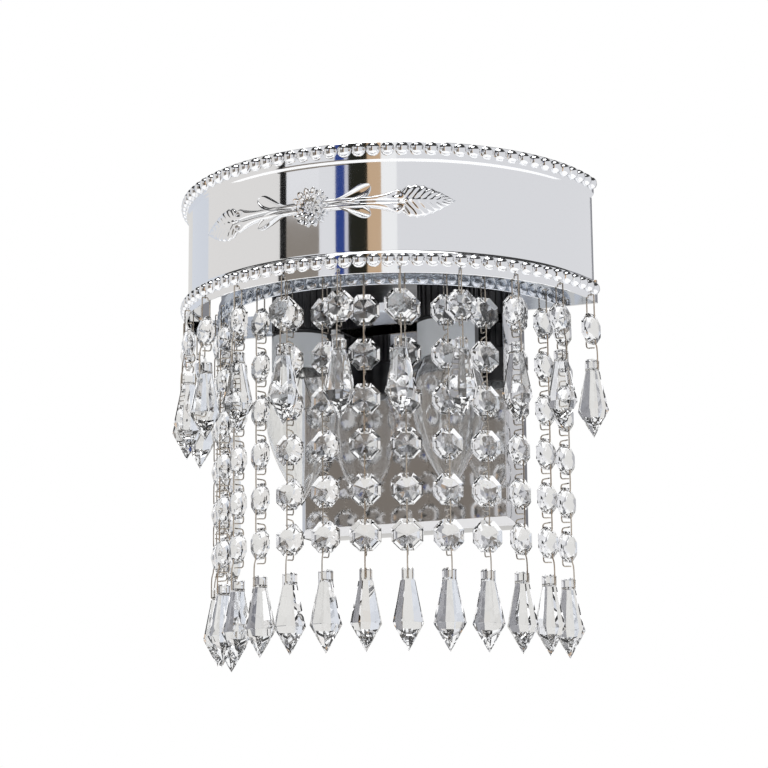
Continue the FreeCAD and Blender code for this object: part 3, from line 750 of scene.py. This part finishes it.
def make_flower_ornament(chrome):
    bm = bmesh.new()
    for side in (-1, 1):
        add_leaf(bm, (side * STALK_ENDS[0], 0), (side * STALK_ENDS[1], 0), 0, STALK_HALF_WIDTH,
                 stalk_outline, grooved, 64, 24)
        for start, end, bow, half_width in SIDE_LEAVES:
            add_leaf(bm, (side * start[0], start[1]), (side * end[0], end[1]), side * bow, half_width,
                     lobe_outline, cupped, 48, 16)
        add_leaf(bm, (side * LEAF_ENDS[0], 0), (side * LEAF_ENDS[1], side * LEAF_RISE), 0,
                 LEAF_HALF_WIDTH, leaf_outline, veined, 84, 28)
    for ring in PETAL_RINGS:
        add_petals(bm, *ring)
    bmesh.ops.create_cone(bm, cap_ends=True, segments=36, radius1=FLOWER_DISC_RADIUS,
                          radius2=FLOWER_DISC_RADIUS, depth=FLOWER_DISC_DEPTH,
                          matrix=Matrix.Translation(on_band(0, -0.3, 0)) @ TO_FRONT)
    bmesh.ops.recalc_face_normals(bm, faces=bm.faces)
    return add_piece("flower_and_leaves", bm, chrome, FIXED_BODY,
                     ["flower_ornament"], 50)


def add_petals(bm, count, reach, half_sizes, out, turn):
    """Ring of cupped petals about the flower's middle."""
    middle = Vector(on_band(0, out, 0))
    for i in range(count):
        angle = turn + 2 * math.pi * i / count
        petal = bmesh.ops.create_uvsphere(bm, u_segments=12, v_segments=8, radius=1.0,
                                          matrix=TO_FRONT)["verts"]
        for vert in petal:
            if vert.co.y < 0:
                vert.co.y *= 1.2 * (vert.co.x ** 2 + vert.co.z ** 2) - 0.2
        place = middle + Vector((reach * math.cos(angle), 0, reach * math.sin(angle)))
        matrix = Matrix.Translation(place) @ Matrix.Rotation(-angle, 4, "Y")
        matrix = matrix @ Matrix.Rotation(-PETAL_TILT, 4, "Z") @ Matrix.Diagonal((*half_sizes, 1))
        bmesh.ops.transform(bm, matrix=matrix, verts=petal)


# Back plate


def make_plate(plate):
    """Thin pressed tray with a bevelled front, open at the wall."""
    bm = bmesh.new()
    half = math.sqrt(0.5)
    bmesh.ops.create_circle(bm, cap_ends=True, segments=4, radius=half,
                            matrix=TO_FRONT @ Matrix.Rotation(math.pi / 4, 4, "Z"))
    bmesh.ops.scale(bm, vec=(PLATE_WIDTH, 1, PLATE_HEIGHT), verts=bm.verts)
    front = push_face(bm, bm.faces[:][0], 0, PLATE_WALL_DEPTH)
    front = push_face(bm, front, PLATE_BEVEL_WIDTH, PLATE_BEVEL_DEPTH)
    bmesh.ops.recalc_face_normals(bm, faces=bm.faces)
    front_y = -PLATE_WALL_DEPTH - PLATE_BEVEL_DEPTH
    outer_edges = [edge for edge in bm.edges if min(v.co.y for v in edge.verts) < -PLATE_SHEET]
    ease_edges(bm, outer_edges, PLATE_EASE, 3)
    back = min(bm.faces, key=lambda face: -face.calc_center_median().y)
    bmesh.ops.inset_region(bm, faces=[back], thickness=PLATE_SHEET, depth=0)
    deep = push_face(bm, back, 0, PLATE_WALL_DEPTH)
    push_face(bm, deep, PLATE_BEVEL_WIDTH, -front_y - PLATE_WALL_DEPTH - PLATE_SHEET)
    bmesh.ops.recalc_face_normals(bm, faces=bm.faces)
    return add_piece("mirror_plate", bm, plate, FIXED_BODY, ["back_plate"], 30)


def push_face(bm, face, margin, depth):
    """Draws an upright face forwards, with a margin taken off its sides; gives the new face."""
    grown = bmesh.ops.extrude_discrete_faces(bm, faces=[face])["faces"][0]
    verts = list(grown.verts)
    width = max(v.co.x for v in verts)
    height = max(v.co.z for v in verts)
    bmesh.ops.scale(bm, vec=((width - margin) / width, 1, (height - margin) / height), verts=verts)
    bmesh.ops.translate(bm, vec=(0, -depth, 0), verts=verts)
    return grown


# Bulbs and lamp holders


def holder_line():
    """(radius, height) line down a holder's outside from its nipple, then up its mouth and bore."""
    low, sleeve, ribs, cap = HOLDER_LOWER_Z, HOLDER_SLEEVE_TOP, HOLDER_RIBS_TOP, HOLDER_CAP_TOP
    nipple_radius, nipple_height = NIPPLE
    mouth_radius, mouth_depth = HOLDER_MOUTH
    bore_radius, bore_depth = HOLDER_BORE
    ease = HOLDER_EASE
    line = [(0, cap + nipple_height), (nipple_radius - 0.5, cap + nipple_height)]
    line += threaded(nipple_radius, 0.4, cap, cap + nipple_height - 0.3, 5)[::-1]
    line += [(HOLDER_CAP_RADIUS - 0.5, cap), (HOLDER_CAP_RADIUS, cap - 0.5),
             (HOLDER_CAP_RADIUS, ribs + 3.0), (HOLDER_CORE - ease, ribs), (HOLDER_CORE, ribs - ease),
             (HOLDER_CORE, sleeve + 0.6), (HOLDER_CORE - 0.5, sleeve + 0.5),
             (HOLDER_CORE - 0.5, sleeve), (HOLDER_RADIUS - ease, sleeve),
             (HOLDER_RADIUS, sleeve - ease), (HOLDER_RADIUS, low + ease), (HOLDER_RADIUS - ease, low)]
    return line + [(mouth_radius, low), (mouth_radius, low + mouth_depth),
                   (bore_radius, low + mouth_depth), (bore_radius, low + bore_depth),
                   (0, low + bore_depth)]


def add_ribs(bm):
    """Upright ribs with eased edges, all round the holder's core."""
    middle = (HOLDER_SLEEVE_TOP + HOLDER_RIBS_TOP) / 2 + RIB_LIFT
    for i in range(HOLDER_RIBS):
        place = (Matrix.Rotation(2 * math.pi * i / HOLDER_RIBS, 4, "Z")
                 @ Matrix.Translation((HOLDER_CORE + RIB_PROUD, 0, middle)))
        rib = bmesh.ops.create_cube(bm, size=1.0, matrix=place
                                    @ Matrix.Diagonal((*RIB_SIZE, RIB_LENGTH, 1)))["verts"]
        ease_edges(bm, list({edge for vert in rib for edge in vert.link_edges}), RIB_EASE, 2)


def make_lamp_holder(side, name, bakelite):
    bm = turned(holder_line())
    add_ribs(bm)
    bmesh.ops.translate(bm, vec=(side * HOLDER_X, HOLDER_Y, 0), verts=bm.verts)
    return add_piece("ribbed_holder_" + name, bm, bakelite, FIXED_BODY,
                     ["lamp_holder_" + name], 35)


def glass_radius(share, radius, neck):
    """Candle shape: the radius at a share of the glass's length below its neck."""
    if share < BULB_WIDEST:
        rise = share / BULB_WIDEST
        return neck + (radius - neck) * (3 * rise ** 2 - 2 * rise ** 3) ** 0.8
    fall = (share - BULB_WIDEST) / (1 - BULB_WIDEST)
    return radius * math.cos(math.pi / 2 * fall ** 1.1)


def glass_line(radius, neck, length):
    """(radius, height) line of the glass from its neck down to its tip."""
    shares = [i / GLASS_STEPS for i in range(GLASS_STEPS + 1)]
    return [(glass_radius(share, radius, neck), BULB_NECK_Z - share * length) for share in shares]


def glass_shell():
    """The envelope's outer and inner skins, joined at the neck."""
    outer = glass_line(BULB_RADIUS, BULB_NECK, BULB_GLASS_LENGTH)
    inner = glass_line(BULB_RADIUS - BULB_WALL, BULB_NECK - BULB_WALL,
                       BULB_GLASS_LENGTH - 2 * BULB_WALL)
    return turned(inner[::-1] + outer)


def screw_cap():
    """Cap with a rolled thread and a foot contact, from the glass up."""
    low, high = BULB_NECK_Z, BULB_TOP_Z - BULB_CONTACT
    line = [(0, low + 0.2), (BULB_CAP_RADIUS - 0.2, low + 0.2), (BULB_CAP_RADIUS, low + 2.0)]
    line += threaded(BULB_CAP_RADIUS, 0.5, low + 2.5, high - 1.5, 6)
    line += [(BULB_CAP_RADIUS - 1.6, high), (BULB_CONTACT, high + 1.2),
             (BULB_CONTACT - 0.6, BULB_TOP_Z - 0.6), (1.6, BULB_TOP_Z - 0.05), (0, BULB_TOP_Z - 0.05)]
    return turned(line)


def coil_point(i):
    """Point of the filament, which winds along a sagging line between the two leads."""
    across = 2 * i / FILAMENT_POINTS - 1
    turn = i * COIL_STEP
    return (FILAMENT_SPREAD * across, COIL_RADIUS * math.sin(turn), BULB_NECK_Z - FILAMENT_DROP
            + COIL_RADIUS * math.cos(turn) - FILAMENT_SAG * (1 - across ** 2))


def filament_and_leads():
    bm = bmesh.new()
    for side in (-1, 1):
        line = [(side * out, 0, BULB_NECK_Z - drop) for out, drop in LEAD_LINE]
        add_copy(bm, wire_mesh("lead", line, radius=LEAD_RADIUS), Matrix())
    coil = [coil_point(i) for i in range(FILAMENT_POINTS + 1)]
    add_copy(bm, wire_mesh("coil", coil, radius=FILAMENT_RADIUS), Matrix())
    return bm


def make_bulb(side, name, glass, cap, filament):
    stem = turned([(r, BULB_NECK_Z - drop) for r, drop in STEM_LINE], 24)
    pieces = [("candle_glass_", glass_shell(), glass, "clear_glass", "bulb_glass_", 60),
              ("screw_cap_", screw_cap(), cap, "cap_metal", "bulb_base_", 40),
              ("glass_stem_", stem, glass, "clear_glass", "bulb_base_", 50),
              ("filament_and_leads_", filament_and_leads(), filament, "cap_metal", "bulb_base_", 50)]
    for piece, bm, material, slot, node, smooth_angle in pieces:
        bmesh.ops.translate(bm, vec=(side * HOLDER_X, HOLDER_Y, 0), verts=bm.verts)
        add_piece(piece + name, bm, material, "bulb_" + name, [node + name], smooth_angle)


# Crystals and wires


def octagon_mesh():
    """Eight-sided crystal with two tiers of facets on each side and two drilled holes."""
    bm = bmesh.new()
    corner = OCTAGON_WIDTH / 2 / math.cos(math.pi / 8)
    bmesh.ops.create_circle(bm, cap_ends=True, segments=8, radius=corner,
                            matrix=Matrix.Rotation(math.pi / 8, 4, "Z"))
    front = list(bm.faces)
    back = bmesh.ops.extrude_face_region(bm, geom=front)
    moved = [item for item in back["geom"] if isinstance(item, bmesh.types.BMVert)]
    bmesh.ops.translate(bm, vec=(0, 0, OCTAGON_GIRDLE), verts=moved)
    bmesh.ops.translate(bm, vec=(0, 0, -OCTAGON_GIRDLE / 2), verts=bm.verts)
    bmesh.ops.recalc_face_normals(bm, faces=bm.faces)
    tables = [face for face in bm.faces if len(face.verts) == 8]
    bevel_width, bevel_depth = OCTAGON_BEVEL
    bmesh.ops.inset_individual(bm, faces=tables, thickness=bevel_width, depth=bevel_depth)
    bmesh.ops.poke(bm, faces=tables, offset=OCTAGON_THICKNESS / 2 - OCTAGON_GIRDLE / 2 - bevel_depth)
    bmesh.ops.transform(bm, matrix=TO_FRONT, verts=bm.verts)
    holes = [Matrix.Translation((0, 0, side * OCTAGON_HOLE)) @ TO_FRONT for side in (-1, 1)]
    return master_mesh(drilled(bm, CRYSTAL_HOLE_RADIUS, 2 * OCTAGON_THICKNESS, holes), "octagon")


def pendant_mesh():
    """Pointed eight-sided drop with a chamfered square head, drilled through; top at z = 0."""
    bm = bmesh.new()
    across = 0.5 / math.cos(math.pi / 8)
    neck = -PENDANT_HEAD_HEIGHT
    shoulder = neck - PENDANT_SHOULDER
    stacked(bm, 8, [(neck, PENDANT_NECK * across), (shoulder, PENDANT_WIDTH * across),
                    (shoulder - PENDANT_TIP, 0)], turn=math.pi / 8)
    head = bmesh.new()
    height = PENDANT_HEAD_HEIGHT + PENDANT_OVERLAP
    bmesh.ops.create_cube(head, size=1.0,
                          matrix=Matrix.Translation((0, 0, neck / 2 - PENDANT_OVERLAP / 2))
                          @ Matrix.Diagonal((PENDANT_HEAD, PENDANT_HEAD, height, 1)))
    rims = [edge for edge in head.edges if (edge.verts[0].co + edge.verts[1].co).z / 2 > neck]
    ease_edges(head, rims, PENDANT_HEAD_CHAMFER, 1)
    hole = Matrix.Translation((0, 0, -PENDANT_HOLE)) @ TO_FRONT
    joined = combined(bm, head, "UNION")
    return master_mesh(drilled(joined, CRYSTAL_HOLE_RADIUS, 2 * PENDANT_WIDTH, [hole]), "pendant")


def wire_mesh(name, points, closed=False, radius=WIRE_RADIUS):
    """Round wire along a smooth line through the given points."""
    curve = bpy.data.curves.new(name, "CURVE")
    curve.dimensions = "3D"
    curve.bevel_depth = radius
    curve.bevel_resolution = 1
    curve.resolution_u = 3
    curve.use_fill_caps = True
    spline = curve.splines.new("NURBS")
    spline.points.add(len(points) - 1)
    for point, place in zip(spline.points, points):
        point.co = (*place, 1.0)
    spline.order_u = 3
    spline.use_cyclic_u = closed
    spline.use_endpoint_u = not closed
    work = bpy.data.objects.new(name, curve)
    bpy.context.scene.collection.objects.link(work)
    bpy.context.view_layer.update()
    mesh = bpy.data.meshes.new_from_object(work.evaluated_get(bpy.context.evaluated_depsgraph_get()))
    bpy.data.objects.remove(work)
    bpy.data.curves.remove(curve)
    return mesh


def hook_mesh():
    """Closed loop from the flange's hook hole to the first crystal's upper hole."""
    low = FIRST_OCTAGON + OCTAGON_HOLE + WIRE_REST
    inner = [(0, HOOK_REACH, z) for z in (0, -1, low + 1, low)]
    outer = [(0, -HOOK_REACH, z) for z in (low, low + 1, -1, 0)]
    return wire_mesh("hook", [(0, 0, 0)] + inner + [(0, 0, low)] + outer, closed=True)


def upper_curl(top):
    """Round loop that passes through a crystal's lower hole and comes back to the outer leg."""
    low = top - CURL_HEIGHT
    return [(0, -WIRE_REACH + 0.7, low - 0.2), (0, 0, low), (0, CURL_REACH * 0.85, low),
            (0, CURL_REACH, top - CURL_HEIGHT * 0.5), (0, CURL_REACH * 0.95, top), (0, 0, top),
            (0, -WIRE_REACH * 0.9, top), (0, -WIRE_REACH, top - 0.9)]


def link_mesh():
    """Straight outer leg with a curl at each end that passes through a crystal's hole."""
    top = -OCTAGON_HOLE - WIRE_REST
    bottom = -OCTAGON_PITCH + OCTAGON_HOLE + WIRE_REST
    half = upper_curl(top)
    lower_curl = [(x, y, top + bottom - z) for x, y, z in reversed(half)]
    return wire_mesh("link", half + lower_curl)


def hanger_mesh():
    """Curl from the last crystal's lower hole, an outer leg and a bar through the pendant's head."""
    top = -OCTAGON_HOLE - WIRE_REST
    low = PENDANT_TOP - PENDANT_HOLE
    reach = HANGER_REACH
    return wire_mesh("hanger", upper_curl(top) + [
        (0, -WIRE_REACH, top - 2.4), (0, -reach, top - 4.4), (0, -reach, low + 0.9), (0, -reach, low),
        (0, -reach + 0.8, low), (0, reach - 0.8, low), (0, reach, low), (0, reach + 0.2, low + 1.0),
        (0, reach, low + HANGER_STUB)])


def strand_turn(index):
    """Small turn about the hook, so that no two strands side by side face the same way."""
    place = index * STRAND_TURN_STRIDE % STRAND_TURN_CYCLE
    return math.radians(STRAND_TURN_STEP * (place - STRAND_TURN_CYCLE // 2))


def make_strands(masters, crystal, wire):
    """Each strand's crystals and its wires, hung from its joint."""
    for joint in frame["joints"]:
        name = joint["child"]
        if "strand" not in name:
            continue
        long_one = name.startswith("long")
        octagons = LONG_STRAND_OCTAGONS if long_one else SHORT_STRAND_OCTAGONS
        index = int(name[-2:]) - 1
        hook = Vector(joint["pos_m"]) / MM
        angle = math.atan2(BAND_CENTRE_Y - hook.y, hook.x)
        turn = Matrix.Rotation(math.pi / 2 - angle + strand_turn(index), 4, "Z")
        place = Matrix.Translation(hook) @ turn
        crystals, wires = bmesh.new(), bmesh.new()
        add_copy(wires, masters["hook"], place)
        for i in range(octagons):
            centre = place @ Matrix.Translation((0, 0, FIRST_OCTAGON - i * OCTAGON_PITCH))
            add_copy(crystals, masters["octagon"], centre)
            add_copy(wires, masters["link" if i + 1 < octagons else "hanger"], centre)
        add_copy(crystals, masters["pendant"], centre @ Matrix.Translation((0, 0, PENDANT_TOP)))
        crystal_node = name + "_crystals" if long_one else name
        wire_node = name + "_links" if long_one else name
        add_piece(name + "_cut_crystals", crystals, crystal, name, [crystal_node])
        add_piece(name + "_wires", wires, wire, name, [wire_node], 50)


# Studio


def set_camera():
    camera = bpy.data.objects.new("camera", bpy.data.cameras.new("camera"))
    camera.data.lens = CAMERA_LENS
    camera.data.clip_end = CAMERA_FAR
    camera.location = CAMERA_PLACE
    look = (CAMERA_AIM - CAMERA_PLACE).to_track_quat("-Z", "Y").to_matrix().to_4x4()
    rolled = look @ Matrix.Rotation(math.radians(-CAMERA_ROLL), 4, "Z")
    camera.rotation_euler = rolled.to_euler()
    bpy.context.scene.collection.objects.link(camera)
    bpy.context.scene.camera = camera


def ray_is(graph, *kinds):
    """1 where the ray is of one of these kinds."""
    found = graph.node("LightPath", output="Is " + kinds[0] + " Ray")
    for kind in kinds[1:]:
        found = found.math("MAXIMUM", graph.node("LightPath", output="Is " + kind + " Ray"))
    return found


def set_world():
    """White behind the lamp for the camera and for glass, a dim room for the rest."""
    world = bpy.data.worlds.new("studio")
    bpy.context.scene.world = world
    world.use_nodes = True
    graph = Graph(world.node_tree)
    shade = colour_mix(graph, ray_is(graph, "Camera", "Transmission"), (0.05, 0.05, 0.05, 1),
                       (1, 1, 1, 1))
    light = graph.node("Background", values={"Color": shade, "Strength": 1.0})
    out = graph.nodes.new("ShaderNodeOutputWorld")
    graph.tree.links.new(light.socket, out.inputs["Surface"])


def glow_material(name, shade):
    material, graph = new_material(name)
    glow = graph.node("Emission", values={"Color": (*shade, 1), "Strength": 1.0})
    out = graph.nodes.new("ShaderNodeOutputMaterial")
    graph.tree.links.new(glow.socket, out.inputs["Surface"])
    return material


def floor_material():
    """Pale floor that glows for the eye and in reflections, but lights nothing."""
    material, graph = new_material("studio_floor")
    grain = object_noise(graph, 3.0, 4.0)
    shade = colour_ramp(graph, grain, (0.3, (0.84, 0.84, 0.84)), (0.7, (0.88, 0.88, 0.88)))
    lift = colour_mix(graph, ray_is(graph, "Camera", "Glossy", "Transmission"), (0, 0, 0, 1),
                      (0.60, 0.60, 0.60, 1))
    finish_material(graph, Base_Color=shade, Roughness=0.7, Emission_Color=lift,
                    Emission_Strength=1.0)
    return material


def make_studio():
    """Round wall of glowing strips for the metal to mirror, and the floor."""
    for name, start, end, lower, upper, shade in STUDIO_STRIPS:
        bm = bmesh.new()
        low = bm.verts.new((0, -STUDIO_RADIUS, lower))
        high = bm.verts.new((0, -STUDIO_RADIUS, upper))
        edge = bm.edges.new((low, high))
        turn = Matrix.Rotation(math.radians(CAMERA_BEARING + start), 3, "Z")
        bmesh.ops.rotate(bm, cent=(0, 0, 0), matrix=turn, verts=bm.verts)
        bmesh.ops.spin(bm, geom=[low, high, edge], cent=(0, 0, 0), axis=(0, 0, 1),
                       angle=math.radians(end - start), steps=max(2, int((end - start) / 4)))
        stage_piece("studio_" + name, bm, glow_material("studio_" + name, shade), seen=False)
    floor = bmesh.new()
    bmesh.ops.create_circle(floor, cap_ends=True, segments=96, radius=FLOOR_RADIUS,
                            matrix=Matrix.Translation((0, 0, STUDIO_LOW)))
    stage_piece("studio_floor", floor, floor_material(), seen=True)


def stage_piece(name, bm, material, seen):
    mesh = bpy.data.meshes.new(name)
    bm.to_mesh(mesh)
    bm.free()
    mesh.materials.append(material)
    piece = bpy.data.objects.new(name, mesh)
    bpy.context.scene.collection.objects.link(piece)
    piece.visible_camera = seen


def set_lamps():
    for name, place, size, power, mirrored in SOFTBOXES:
        data = bpy.data.lights.new(name, "AREA")
        data.size = size
        data.energy = power
        lamp = bpy.data.objects.new(name, data)
        lamp.location = place
        lamp.rotation_euler = (-Vector(place)).to_track_quat("-Z", "Y").to_euler()
        lamp.visible_glossy = mirrored
        lamp.visible_transmission = False
        bpy.context.scene.collection.objects.link(lamp)


def dress_nodes(chrome):
    """Gives every CAD node that stays in view its finish."""
    zinc = zinc_material()
    finishes = {"cross_strip": chrome, "terminal_block": terminal_material()}
    for node in ("wall_bracket", "side_screws", "holder_nuts", "lamp_bracket"):
        finishes[node] = zinc
    for node, material in finishes.items():
        mesh = frame["nodes"][node].data
        mesh.materials.clear()
        mesh.materials.append(material)


bpy.context.scene.view_settings.view_transform = "Standard"
set_camera()
set_world()
make_studio()
set_lamps()
chrome = chrome_material()
dress_nodes(chrome)
make_plate(mirror_plate_material())
make_flower_ornament(chrome)
bakelite, cap, filament = bakelite_material(), cap_material(), filament_material()
bulb_glass = bulb_glass_material()
for side, name in ((-1, "left"), (1, "right")):
    make_lamp_holder(side, name, bakelite)
    make_bulb(side, name, bulb_glass, cap, filament)
pearl = pearl_mesh()
make_band(pearl, chrome)
make_ring(pearl, ring_painted_shade_material())
masters = {"octagon": octagon_mesh(), "pendant": pendant_mesh(), "hook": hook_mesh(),
           "link": link_mesh(), "hanger": hanger_mesh()}
make_strands(masters, crystal_material(), wire_material())
